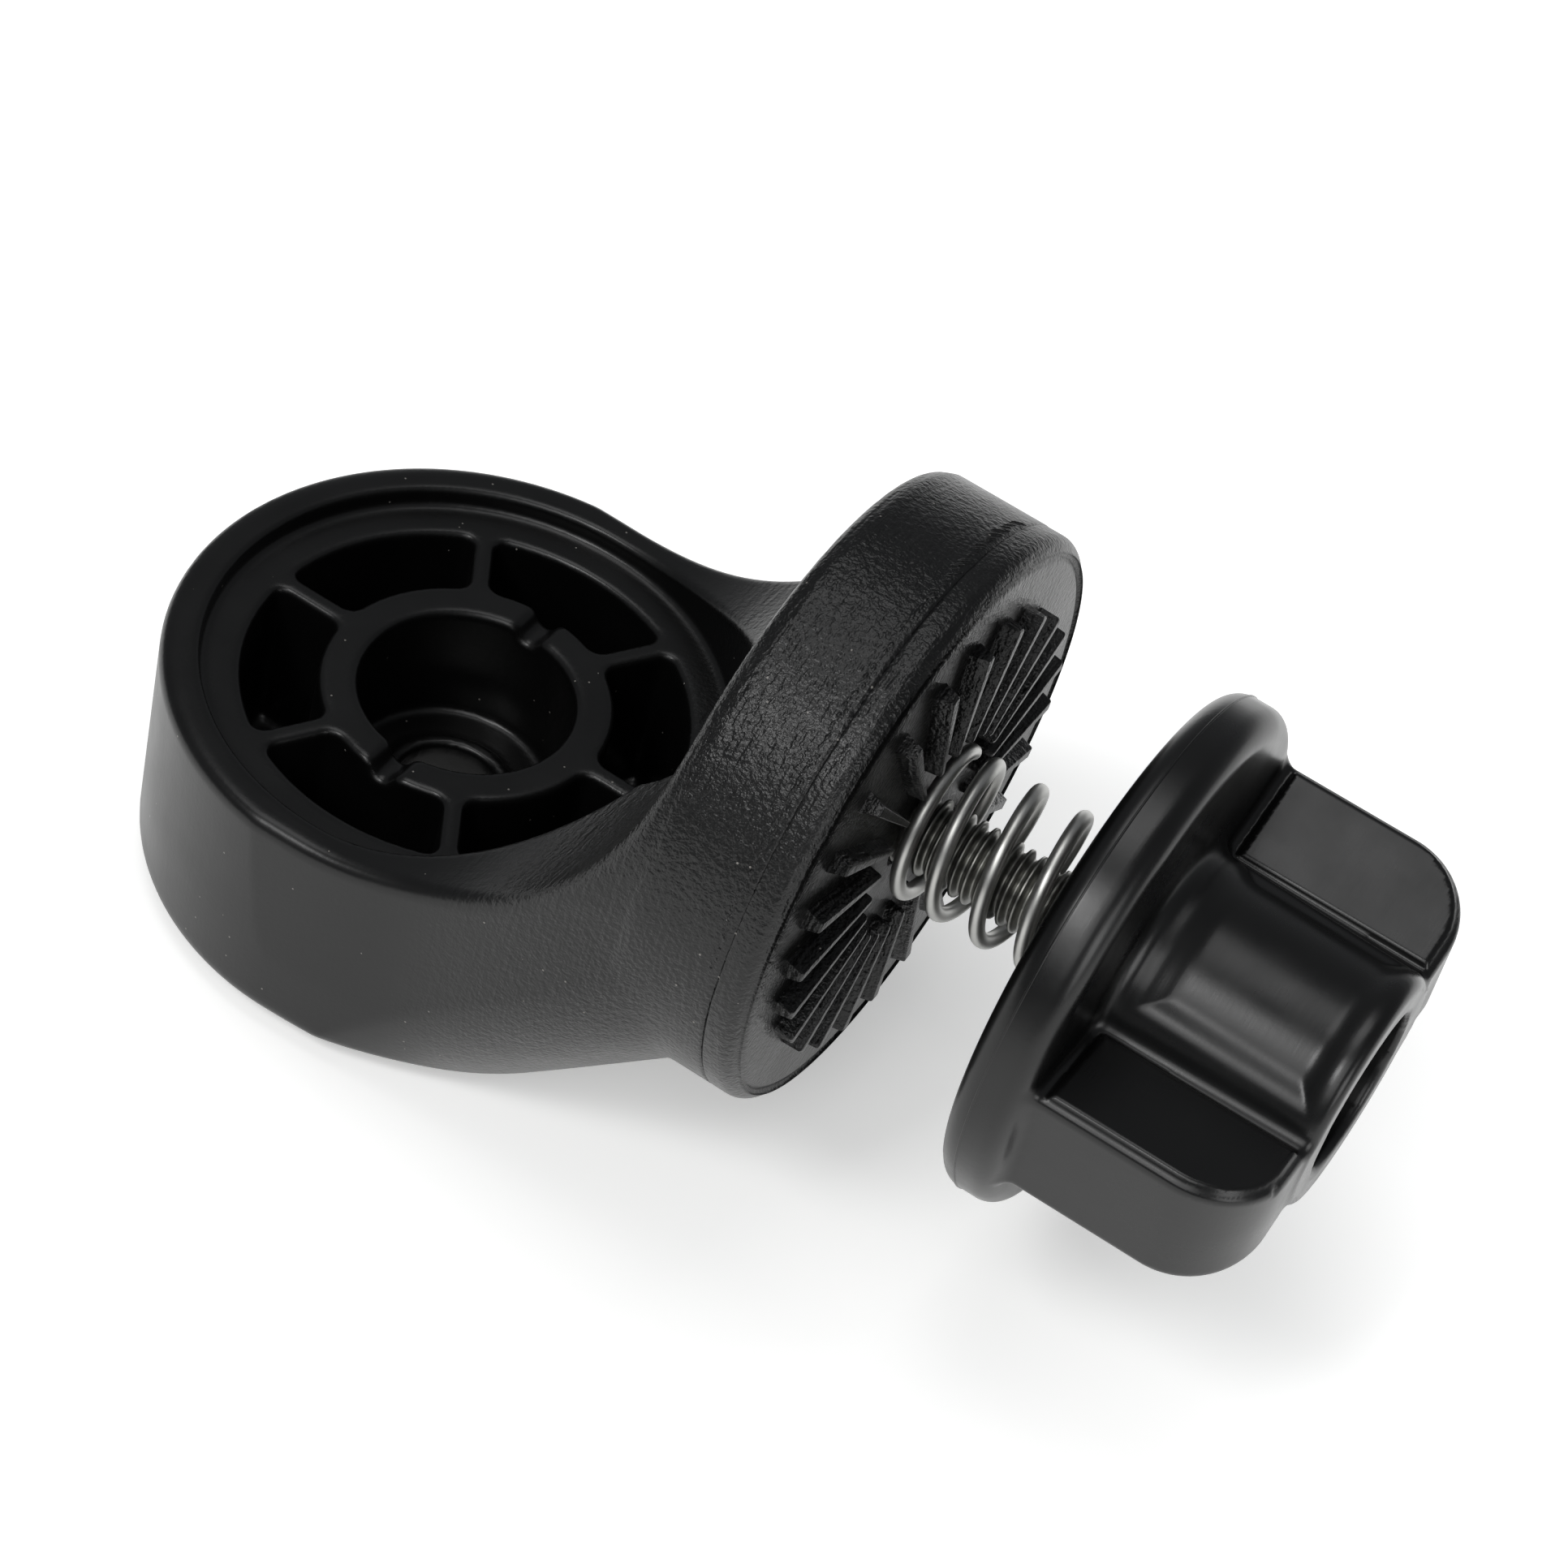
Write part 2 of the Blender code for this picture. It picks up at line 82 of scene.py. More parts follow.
def slab(value, low, high):
    return np.maximum(low - value, value - high)


def step(value, low, high):
    # smooth change from 0 at low to 1 at high
    share = np.clip((value - low) / (high - low), 0, 1)
    return share * share * (3 - 2 * share)


def hexagon(u, v, acrossFlats):
    side = [np.abs(u * math.sin(turn) + v * math.cos(turn)) for turn in (0, math.pi / 3, 2 * math.pi / 3)]
    return np.maximum(np.maximum(side[0], side[1]), side[2]) - acrossFlats / 2


def surfaceOf(field, axes, rounds=3):
    # Skin of a field on a grid whose lines may be closer together where the shape is finer.
    # Each grid cell that the skin crosses gets one point, the mean of its edge crossings, and each
    # grid line that crosses the skin gets one square. The points are then evened out and pulled
    # back along the field's slope until the field is zero there.
    grid = np.meshgrid(*axes, indexing="ij", sparse=True)
    value = field(*grid)
    inside = value < 0
    cells = tuple(length - 1 for length in value.shape)
    total = np.zeros(cells, np.int8)
    for corner in np.ndindex(2, 2, 2):
        total += inside[tuple(slice(c, c + n) for c, n in zip(corner, cells))]
    mixed = (total > 0) & (total < 8)
    index = np.full(cells, -1, np.int64)
    index[mixed] = np.arange(mixed.sum())
    cell = np.stack(np.nonzero(mixed), 1)
    points = np.zeros(cell.shape)
    hits = np.zeros(len(cell))
    for along in range(3):
        for near in np.ndindex(2, 2):
            offset = np.insert(near, along, 0)
            first = cell + offset
            second = first + np.eye(3, dtype=int)[along]
            v0, v1 = value[tuple(first.T)], value[tuple(second.T)]
            crossed = (v0 < 0) != (v1 < 0)
            share = np.where(crossed, v0 / np.where(crossed, v0 - v1, 1), 0)
            place = np.stack([axes[k][first[:, k]] for k in range(3)], 1)
            place[:, along] += share * (axes[along][second[:, along]] - place[:, along])
            points += place * crossed[:, None]
            hits += crossed
    points /= hits[:, None]
    quads = []
    for along in range(3):
        right, up = (along + 1) % 3, (along + 2) % 3
        low = [slice(1, -1)] * 3
        low[along] = slice(0, -1)
        high = list(low)
        high[along] = slice(1, None)
        leaving = inside[tuple(low)] & ~inside[tuple(high)]
        entering = ~inside[tuple(low)] & inside[tuple(high)]
        for crossing, order in ((leaving, (0, 1, 2, 3)), (entering, (0, 3, 2, 1))):
            edge = np.stack(np.nonzero(crossing), 1)
            edge[:, [right, up]] += 1
            corners = []
            for a, b in ((-1, -1), (0, -1), (0, 0), (-1, 0)):
                beside = edge.copy()
                beside[:, right] += a
                beside[:, up] += b
                corners.append(index[tuple(beside.T)])
            quads.append(np.stack([corners[k] for k in order], 1))
    quads = np.concatenate(quads)
    for turn in range(rounds):
        points = pulled(field, evened(points, quads) if turn else points)
    return points, quads


def evened(points, quads):
    # each point moves half way to the mean of its neighbours
    first, second = quads.ravel(), np.roll(quads, -1, axis=1).ravel()
    count = np.bincount(first, minlength=len(points)) + np.bincount(second, minlength=len(points))
    moved = np.empty_like(points)
    for k in range(3):
        total = np.bincount(first, points[second, k], len(points))
        total += np.bincount(second, points[first, k], len(points))
        moved[:, k] = total / count
    return (points + moved) / 2


def pulled(field, points, reach=0.25, probe=0.01, least=0.2):
    # Two Newton steps along the field's slope, each at most reach long. Where the slope's square is
    # under least, at a sharp edge, least is used instead.
    for _ in range(2):
        value = field(*points.T)
        slope = np.empty_like(points)
        for k in range(3):
            ahead, behind = points.copy(), points.copy()
            ahead[:, k] += probe
            behind[:, k] -= probe
            slope[:, k] = (field(*ahead.T) - field(*behind.T)) / (2 * probe)
        size = np.maximum((slope ** 2).sum(1), least)
        shift = np.clip(value / size, -reach, reach)
        points = points - shift[:, None] * slope
    return points


# Meshes.

def toFrame(points):
    # from stations and heights in millimetres to the frame's metres
    return (points + np.array([baseAxis, 0, 0])) * mm


def makePiece(name, skins, material, bodyName, nodes=(), sharp=None):
    # one object from several closed skins, each (points, faces) in millimetres
    points, faces, start = [], [], 0
    for skinPoints, skinFaces in skins:
        points.append(toFrame(np.asarray(skinPoints)))
        rows = skinFaces.tolist() if hasattr(skinFaces, "tolist") else skinFaces
        faces += [[v + start for v in row] for row in rows]
        start += len(skinPoints)
    mesh = bpy.data.meshes.new(name)
    mesh.from_pydata(np.concatenate(points).tolist(), [], faces)
    shell = bmesh.new()
    shell.from_mesh(mesh)
    bmesh.ops.recalc_face_normals(shell, faces=shell.faces)
    shell.to_mesh(mesh)
    shell.free()
    mesh.polygons.foreach_set("use_smooth", np.full(len(faces), True))
    if sharp:
        mesh.set_sharp_from_angle(angle=math.radians(sharp))
    mesh.materials.append(material)
    mesh.update()
    piece = bpy.data.objects.new(name, mesh)
    scene.collection.objects.link(piece)
    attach(piece, bodyName)
    if nodes:
        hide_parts(*nodes)
    print("made %s: %d faces" % (name, len(faces)))
    return piece


def gridFaces(rows, columns, closedRows, closedColumns):
    # squares between neighbouring points of a grid that may join up with itself
    i = np.arange(rows if closedRows else rows - 1)[:, None]
    j = np.arange(columns if closedColumns else columns - 1)[None, :]
    i2, j2 = (i + 1) % rows, (j + 1) % columns
    corners = [i * columns + j, i2 * columns + j, i2 * columns + j2, i * columns + j2]
    return np.stack([np.broadcast_to(c, (i.size, j.size)).ravel() for c in corners], 1)


def turnedSkin(profile, segments=192):
    # A closed outline of (station, radius) turned about the joint axis.
    # Point (i, j) is at outline point i, at the angle 2 pi j / segments.
    profile = np.array(profile, float)
    angle = 2 * math.pi * np.arange(segments) / segments
    station = np.repeat(profile[:, :1], segments, 1)
    radius = profile[:, 1:]
    points = np.stack([station, radius * np.cos(angle), eyeHeight + radius * np.sin(angle)], 2)
    return points.reshape(-1, 3), gridFaces(len(profile), segments, True, True)


def arcPoints(centre, radius, start, stop, count=8):
    angle = np.radians(np.linspace(start, stop, count + 1))
    return np.stack([centre[0] + radius * np.cos(angle), centre[1] + radius * np.sin(angle)], 1).tolist()


# Materials.

def linearColour(code):
    # sRGB hex to the linear values that a shader takes
    share = [int(code[k:k + 2], 16) / 255 for k in (1, 3, 5)]
    return (*[c / 12.92 if c <= 0.04045 else ((c + 0.055) / 1.055) ** 2.4 for c in share], 1.0)


def addNode(tree, kind, inputs=None, **settings):
    # one node, its settings, and for each input either a value or the socket that feeds it
    node = tree.nodes.new(kind)
    for key, value in settings.items():
        setattr(node, key, value)
    for key, value in (inputs or {}).items():
        if isinstance(value, bpy.types.NodeSocket):
            tree.links.new(value, node.inputs[key])
        else:
            node.inputs[key].default_value = value
    return node


def perMetre(size):
    # noise scale for features of that many millimetres
    return 1 / (size * mm)


def newMaterial(name):
    material = bpy.data.materials.new(name)
    material.use_nodes = True
    tree = material.node_tree
    place = addNode(tree, "ShaderNodeTexCoord").outputs["Object"]
    return material, tree, tree.nodes["Principled BSDF"], place


def setShader(shader, values):
    for key, value in values.items():
        shader.inputs[key].default_value = value


def variedRoughness(tree, shader, factor, spread, values):
    # roughness between two values as a noise goes from spread below its middle to spread above it
    rough = addNode(tree, "ShaderNodeMapRange", {
        "Value": factor, "From Min": 0.5 - spread, "From Max": 0.5 + spread,
        "To Min": values["roughness"][0], "To Max": values["roughness"][1]})
    tree.links.new(rough.outputs["Result"], shader.inputs["Roughness"])


def blendedColour(tree, shader, factor, dark, light):
    ramp = addNode(tree, "ShaderNodeValToRGB", {"Fac": factor})
    ramp.color_ramp.elements[0].color = linearColour(dark)
    ramp.color_ramp.elements[1].color = linearColour(light)
    tree.links.new(ramp.outputs["Color"], shader.inputs["Base Color"])


mouldedNylonValues = {
    "dark": "#050505", "light": "#080808", "roughness": (0.29, 0.35),
    "ior": 1.53, "specular": 0.32,
    "grain": 0.42,        # mm, spark-eroded mould texture
    "grainDepth": 0.13,   # mm, drawn deeper than the real few microns so that it shows
    "streak": 0.36,       # mm between the fine lines round the joint eye
    "streakShare": 0.7,   # their depth, as a share of the grain's
    "streakStretch": 0.12,  # how much slower they change along than across
    "cloud": 7.0,         # mm, slow changes of shade
    "speck": 0.9,         # mm between the places where dust may lie
    "speckSize": 0.09,    # radius of a speck, as a share of that distance
    "speckShare": 0.12,   # share of the places that hold a speck
    "dust": "#6f6c68",
    "grainFrom": 10.0, "grainFull": 26.0,  # stations where the grain starts to grow and is full
    "grainLeast": 0.05,   # the share of it that the base has
}


def mouldedNylon():
    # glass-filled nylon 6, injection moulded: satin black, grainy where the mould was spark eroded
    values = mouldedNylonValues
    material, tree, shader, place = newMaterial("injection_moulded_nylon")
    setShader(shader, {"Metallic": 0.0, "IOR": values["ior"], "Specular IOR Level": values["specular"]})
    axes = addNode(tree, "ShaderNodeSeparateXYZ", {"Vector": place})
    zone = addNode(tree, "ShaderNodeMapRange", {
        "Value": axes.outputs["X"], "To Min": values["grainLeast"], "To Max": 1.0,
        "From Min": (baseAxis + values["grainFrom"]) * mm,
        "From Max": (baseAxis + values["grainFull"]) * mm})
    grain = addNode(tree, "ShaderNodeTexNoise", {
        "Vector": place, "Scale": perMetre(values["grain"]), "Detail": 2.0, "Roughness": 0.6})
    slow = values["streakStretch"]
    stretch = addNode(tree, "ShaderNodeMapping", {"Vector": place, "Scale": (1.0, slow, slow)})
    streak = addNode(tree, "ShaderNodeTexNoise", {
        "Vector": stretch.outputs["Vector"], "Scale": perMetre(values["streak"]), "Detail": 1.0})
    cloud = addNode(tree, "ShaderNodeTexNoise", {
        "Vector": place, "Scale": perMetre(values["cloud"]), "Detail": 3.0})
    both = addNode(tree, "ShaderNodeMath", {
        0: streak.outputs["Fac"], 1: values["streakShare"], 2: grain.outputs["Fac"]},
        operation="MULTIPLY_ADD")
    height = addNode(tree, "ShaderNodeMath", {
        0: both.outputs[0], 1: zone.outputs["Result"]}, operation="MULTIPLY")
    bump = addNode(tree, "ShaderNodeBump", {
        "Height": height.outputs[0], "Strength": 1.0, "Distance": values["grainDepth"] * mm})
    tree.links.new(bump.outputs["Normal"], shader.inputs["Normal"])
    variedRoughness(tree, shader, cloud.outputs["Fac"], 0.15, values)
    dust = addNode(tree, "ShaderNodeTexVoronoi", {"Vector": place, "Scale": perMetre(values["speck"])})
    chosen = addNode(tree, "ShaderNodeSeparateColor", {"Color": dust.outputs["Color"]})
    near = addNode(tree, "ShaderNodeMath", {
        0: dust.outputs["Distance"], 1: values["speckSize"]}, operation="LESS_THAN")
    few = addNode(tree, "ShaderNodeMath", {
        0: chosen.outputs["Red"], 1: values["speckShare"]}, operation="LESS_THAN")
    speck = addNode(tree, "ShaderNodeMath", {
        0: near.outputs[0], 1: few.outputs[0]}, operation="MULTIPLY")
    dark, light, dusted = (linearColour(values[key]) for key in ("dark", "light", "dust"))
    # inputs 6 and 7 and output 2 are a Mix node's colours
    plain = addNode(tree, "ShaderNodeMix", {
        "Factor": cloud.outputs["Fac"], 6: dark, 7: light}, data_type="RGBA")
    dusty = addNode(tree, "ShaderNodeMix", {
        "Factor": speck.outputs[0], 6: plain.outputs[2], 7: dusted}, data_type="RGBA")
    tree.links.new(dusty.outputs[2], shader.inputs["Base Color"])
    return material


knobNylonValues = {
    "dark": "#050505", "light": "#080808", "roughness": (0.26, 0.34),
    "ior": 1.53, "specular": 0.36,
    "cloud": 5.0, "grain": 0.5, "grainDepth": 0.004,  # mm
    "scratch": 0.16, "scratchDepth": 0.003,  # mm, fine lines left where the mould was polished
    "scratchStretch": 0.05,                  # how much slower they change along than across
}


def knobNylon():
    # unfilled nylon from a polished mould: glossier, with fine lines running along the knob
    values = knobNylonValues
    material, tree, shader, place = newMaterial("polished_mould_nylon")
    setShader(shader, {"Metallic": 0.0, "IOR": values["ior"], "Specular IOR Level": values["specular"]})
    grain = addNode(tree, "ShaderNodeTexNoise", {
        "Vector": place, "Scale": perMetre(values["grain"]), "Detail": 3.0})
    slow = values["scratchStretch"]
    stretch = addNode(tree, "ShaderNodeMapping", {"Vector": place, "Scale": (1.0, slow, slow)})
    scratch = addNode(tree, "ShaderNodeTexNoise", {
        "Vector": stretch.outputs["Vector"], "Scale": perMetre(values["scratch"]), "Detail": 1.0})
    cloud = addNode(tree, "ShaderNodeTexNoise", {
        "Vector": place, "Scale": perMetre(values["cloud"]), "Detail": 3.0})
    soft = addNode(tree, "ShaderNodeBump", {
        "Height": grain.outputs["Fac"], "Distance": values["grainDepth"] * mm})
    fine = addNode(tree, "ShaderNodeBump", {
        "Height": scratch.outputs["Fac"], "Distance": values["scratchDepth"] * mm,
        "Normal": soft.outputs["Normal"]})
    tree.links.new(fine.outputs["Normal"], shader.inputs["Normal"])
    variedRoughness(tree, shader, cloud.outputs["Fac"], 0.15, values)
    blendedColour(tree, shader, cloud.outputs["Fac"], values["dark"], values["light"])
    return material


springSteelValues = {
    "dark": "#a0a09d", "light": "#c4c4c1", "roughness": (0.34, 0.44),
    "line": 0.09, "lineDepth": 0.003, "cloud": 2.5,  # mm
}


def springSteel():
    # cold-drawn spring wire: bright, with fine drawing lines along the wire
    values = springSteelValues
    material, tree, shader, place = newMaterial("drawn_spring_steel")
    setShader(shader, {"Metallic": 1.0})
    alongWire = addNode(tree, "ShaderNodeAttribute", attribute_name="wire").outputs["Vector"]
    line = addNode(tree, "ShaderNodeTexNoise", {
        "Vector": alongWire, "Scale": perMetre(values["line"]), "Detail": 2.0})
    cloud = addNode(tree, "ShaderNodeTexNoise", {
        "Vector": place, "Scale": perMetre(values["cloud"]), "Detail": 3.0})
    bump = addNode(tree, "ShaderNodeBump", {
        "Height": line.outputs["Fac"], "Distance": values["lineDepth"] * mm})
    tree.links.new(bump.outputs["Normal"], shader.inputs["Normal"])
    variedRoughness(tree, shader, cloud.outputs["Fac"], 0.2, values)
    blendedColour(tree, shader, cloud.outputs["Fac"], values["dark"], values["light"])
    return material


zincSteelValues = {
    "dark": "#5c5c59", "light": "#90908b", "roughness": (0.28, 0.42),
    "mottle": 0.8, "pit": 0.15, "pitDepth": 0.004,  # mm
}


def zincSteel():
    # steel with a bright zinc plating: slightly mottled and soft-edged
    values = zincSteelValues
    material, tree, shader, place = newMaterial("zinc_plated_steel")
    setShader(shader, {"Metallic": 1.0})
    mottle = addNode(tree, "ShaderNodeTexNoise", {
        "Vector": place, "Scale": perMetre(values["mottle"]), "Detail": 4.0})
    pit = addNode(tree, "ShaderNodeTexNoise", {
        "Vector": place, "Scale": perMetre(values["pit"]), "Detail": 1.0})
    bump = addNode(tree, "ShaderNodeBump", {
        "Height": pit.outputs["Fac"], "Distance": values["pitDepth"] * mm})
    tree.links.new(bump.outputs["Normal"], shader.inputs["Normal"])
    variedRoughness(tree, shader, mottle.outputs["Fac"], 0.2, values)
    blendedColour(tree, shader, mottle.outputs["Fac"], values["dark"], values["light"])
    return material


bodyNylon, wingNylon, wireSteel, platedSteel = mouldedNylon(), knobNylon(), springSteel(), zincSteel()
print("materials ready")


# Pivot body: base eye, arm and joint eye in one moulding.

body = {
    "foot": 1.4, "rim": 20.6, "draft": 0.4, "footRound": 1.4,
    "lip": 20.3, "ledge": 18.9, "lipRound": 1.1, "lipInnerRound": 0.5,
    "window": 17.1, "windowFloor": 5.0, "windowCorner": 1.0, "edgeRound": 0.5,
    "spokes": 6, "spokeHalf": 0.8,
    "hub": 11.3, "hubBore": 8.3, "hubFloor": 8.3, "hubRound": 0.55, "boreRound": 0.6,
    "hole": 4.05, "holeRound": 0.3,
    "holeLip": 0.5, "holeLipStart": 0.1, "holeLipWidth": 1.2, "holeLipRound": 0.2,
    "notchHalf": 1.2, "notchDrop": 1.2, "notchSlope": 0.5, "notchOut": 0.8,
    "notchRound": 0.6, "notchFloorRound": 0.5,
    "sweep": 25.5,  # radius of the concave arc, and the station where it becomes the joint eye's back
    "skirt": 34.2, "underside": 31.4, "skirtDrop": 21.6, "armInset": 0.2,
    "waist": 0.7, "waistStation": 11.0, "waistLength": 7.0,  # the arm is a little narrower there
    "crease": 0.35, "topInset": 0.15, "skirtRound": 0.22,
    "eyeFade": 1.5, "eyeSlope": 0.35,  # the joint eye's rim rises out of the arm along that cone
    "seatBore": 8.3, "seatFloor": 28.0, "seatRound": 0.4,
    "hexFlats": 10.6, "hexFloor": 32.6, "hexRound": 0.15, "boltWay": 3.3,
}
overlap = 1.0  # mm by which a bore reaches back into the one before it
armStep = 2    # degrees between the planes that make the arm's sides


def armPlanes():
    # Planes that touch both the base eye's rim circle and the joint eye's ellipse, one for each
    # angle round the base: normal (cos a, sin a, s), where s makes both supports equal.
    planes = []
    # the upper half plane is enough, because the arm is the same on both sides of y = 0
    for degrees in range(0, 181, armStep):
        a = math.radians(degrees)
        front = degrees <= 90
        height = body["foot"] if front else body["rim"]
        station = body["underside"] if front else body["sweep"]
        tall = body["skirtDrop"] if front else eyeRadius
        wide = eyeRadius - body["armInset"]
        rise = eyeHeight - height
        reach = baseRadius - station * math.cos(a)
        square = tall ** 2 - rise ** 2
        inner = (reach * rise) ** 2 - square * ((wide * math.sin(a)) ** 2 - reach ** 2)
        s = (-reach * rise + math.sqrt(max(inner, 0))) / square
        size = math.hypot(1, s)
        planes.append([value / size for value in (math.cos(a), math.sin(a), s, baseRadius + height * s)])
    return planes


armSides = armPlanes()


def bodyField(x, y, z):
    # The base eye, its arm and the joint eye joined, then cut by the sweep, the recess, the windows
    # between the spokes, the hub's bore, hole and notches, and the bolt's seat, pocket and way.
    b = body
    waist = b["waist"] / baseRadius * np.exp(-((x - b["waistStation"]) / b["waistLength"]) ** 2)
    side = np.abs(y) * (1 + waist)
    across = np.hypot(x, y)
    taper = b["draft"] * np.clip(1 - z / b["rim"], 0, 1)
    arm = np.hypot(np.minimum(x, 0), side) - baseRadius + taper
    for nx, ny, nz, reach in armSides:
        arm = np.maximum(arm, nx * x + ny * side + (nz * z - reach))
    arm = np.maximum(arm, np.hypot(side, np.maximum(z - eyeHeight, 0)) - eyeRadius + b["topInset"])
    arm = np.maximum(arm, x - b["skirt"])
    arm = roundOut(arm, b["foot"] - z, b["footRound"])
    axial = np.hypot(y, z - eyeHeight)
    eye = roundOut(axial - eyeRadius, x - b["skirt"], b["skirtRound"])
    eye = np.maximum(eye, (b["sweep"] + b["eyeFade"] - x) * b["eyeSlope"])
    solid = roundIn(arm, eye, b["crease"])
    sweep = b["sweep"] - np.hypot(np.maximum(x, 0), np.minimum(z - b["rim"] - b["sweep"], 0))
    solid = roundOut(solid, sweep, b["lipRound"])
    recess = roundOut(across - b["lip"], b["ledge"] - z, b["lipInnerRound"])
    solid = cut(solid, recess, b["lipInnerRound"])
    sector = 2 * math.pi / b["spokes"]
    turn = np.mod(np.arctan2(y, x) + sector / 2, sector) - sector / 2
    spoke = b["spokeHalf"] - across * np.abs(np.sin(turn))
    plan = roundOut(slab(across, b["hub"], b["window"]), spoke, b["windowCorner"])
    window = roundOut(plan, b["windowFloor"] - z, b["windowCorner"])
    solid = cut(solid, window, b["edgeRound"])
    bore = roundOut(across - b["hubBore"], b["hubFloor"] - z, b["boreRound"])
    solid = cut(solid, bore, b["hubRound"])
    lipStart = b["hole"] - b["holeLipStart"]
    holeLip = slab(across, lipStart, lipStart + b["holeLipWidth"])
    holeLip = np.maximum(holeLip, slab(z, b["hubFloor"] - b["holeLip"], b["hubFloor"] + b["holeLip"]))
    solid = roundIn(solid, holeLip, b["holeLipRound"])
    solid = cut(solid, across - b["hole"], b["holeRound"])
    notchSide = np.abs(x) - b["notchHalf"] - b["notchSlope"] * (z - b["ledge"])
    notch = roundOut(notchSide, b["ledge"] - b["notchDrop"] - z, b["notchFloorRound"])
    notch = np.maximum(notch, slab(across, b["hubBore"] - overlap, b["hub"] + b["notchOut"]))
    solid = cut(solid, notch, b["notchRound"])
    seat = np.maximum(axial - b["seatBore"], slab(x, b["sweep"] / 2, b["seatFloor"]))
    solid = cut(solid, seat, b["seatRound"])
    pocket = hexagon(y, z - eyeHeight, b["hexFlats"])
    pocket = np.maximum(pocket, slab(x, b["seatFloor"] - overlap, b["hexFloor"]))
    solid = cut(solid, pocket, b["hexRound"])
    return cut(solid, axial - b["boltWay"], b["holeRound"])


def spaced(*parts):
    # grid lines from (start, stop, spacing) stretches that follow each other
    lines = [np.arange(start, stop - spacing / 2, spacing) for start, stop, spacing in parts]
    return np.concatenate(lines + [[parts[-1][1]]])


bodyGrid = [
    spaced((-24.1, 31.9, 0.4), (31.9, 34.9, 0.2)),
    spaced((-24.2, 24.2, 0.4)),
    spaced((0.7, 3.1, 0.4), (3.1, 15.1, 0.8), (15.1, 22.3, 0.34), (22.3, 55.4, 0.42)),
]


# Joint face: bead, groove and land, turned, with radial teeth.

face = {
    "back": 33.2, "start": 34.2, "front": 36.8, "boltWay": 3.3, "chamfer": 0.3, "shoulder": 1.5,
    "heel": ((-0.1, 0.3), (0.0, 0.1), (0.1, 0.02), (0.25, 0.0)),  # mm past the start, and under the rim
    "beadRound": 1.3, "beadArc": (90, 28),                        # degrees
    "groove": 22.05, "grooveRound": 0.28, "grooveSink": 0.02, "grooveArc": (70, 205),
    "landEdge": ((0.08, 0.4), (0.0, 0.6)),                        # mm under the land, and inside the groove
    "landRings": (18.6, 12.0, 7.4),                               # radii where the flat land has a ring
}
teeth = {
    "count": 24, "inner": 8.2, "outer": 18.0, "height": 1.4, "root": 0.4,
    "foot": 0.4, "crest": 0.18, "edge": 0.07,
    "innerEnd": ((0.0, 0.3), (0.1, 0.07), (0.3, 0.0)),     # mm outward from it, and how far the crest drops
    "outerEnd": ((-0.3, 0.0), (-0.1, 0.03), (0.0, 0.13)),
}


def faceProfile():
    # outline of the joint face in (station, radius), from the back of its hole round to the bead,
    # the groove and the land, and back to the hole
    f = face
    front, hole = f["front"], f["boltWay"]
    outline = [(f["back"], hole), (f["back"], eyeRadius - f["shoulder"])]
    outline += [(f["start"] + along, eyeRadius - under) for along, under in f["heel"]]
    beadCentre = (front - f["beadRound"], eyeRadius - f["beadRound"])
    outline += arcPoints(beadCentre, f["beadRound"], *f["beadArc"], 14)
    outline += arcPoints((front - f["grooveSink"], f["groove"]), f["grooveRound"], *f["grooveArc"])
    outline += [(front - under, f["groove"] - inside) for under, inside in f["landEdge"]]
    outline += [(front, radius) for radius in (*f["landRings"], hole + f["chamfer"])]
    return outline + [(front - f["chamfer"], hole)]


def toothRing():
    # Radial teeth about a local z axis, rising from z = 0. Across a tooth the outline runs up one
    # flank, round the crest's two edges and down the other flank. Half widths are shares of the
    # pitch at that distance from the axis, so a tooth narrows towards the middle.
    t = teeth
    pitch = 2 * math.pi / t["count"]
    quarter = np.radians([0, 30, 60, 90])
    inward = t["edge"] * (1 - np.cos(quarter))
    below = t["edge"] * (1 - np.sin(quarter))
    side = np.concatenate([[-1] * 5, [1] * 5])
    share = np.array([t["foot"]] + [t["crest"]] * 8 + [t["foot"]])
    inset = np.concatenate([[0], inward, inward[::-1], [0]])
    rise = t["height"] - below
    level = np.concatenate([[-t["root"]], rise, rise[::-1], [-t["root"]]])
    ends = [(t["inner"] + along, drop) for along, drop in t["innerEnd"]]
    ends += [(t["outer"] + along, drop) for along, drop in t["outerEnd"]]
    radius, drop = np.array(ends).T
    half = radius[:, None] * pitch * share / 2 - inset
    height = level - drop[:, None] * (level > 0)
    bar = np.stack([np.repeat(radius[:, None], len(side), 1), side * half, height], 2)
    angle = (pitch * np.arange(t["count"]))[:, None, None]
    spun = np.stack([
        bar[..., 0] * np.cos(angle) - bar[..., 1] * np.sin(angle),
        bar[..., 0] * np.sin(angle) + bar[..., 1] * np.cos(angle),
        np.broadcast_to(bar[..., 2], (t["count"], *bar.shape[:2]))], 3)
    rows, columns = bar.shape[:2]
    one = gridFaces(rows, columns, False, True).tolist()
    one += [list(range(columns)), list(range((rows - 1) * columns, rows * columns))[::-1]]
    faces = [[v + k * rows * columns for v in face] for k in range(t["count"]) for face in one]
    return spun.reshape(-1, 3), faces


def placed(points, origin, xAxis, yAxis, zAxis):
    # local x, y and z laid along the three given directions from the origin
    return np.array(origin) + points @ np.array([xAxis, yAxis, zAxis], float)


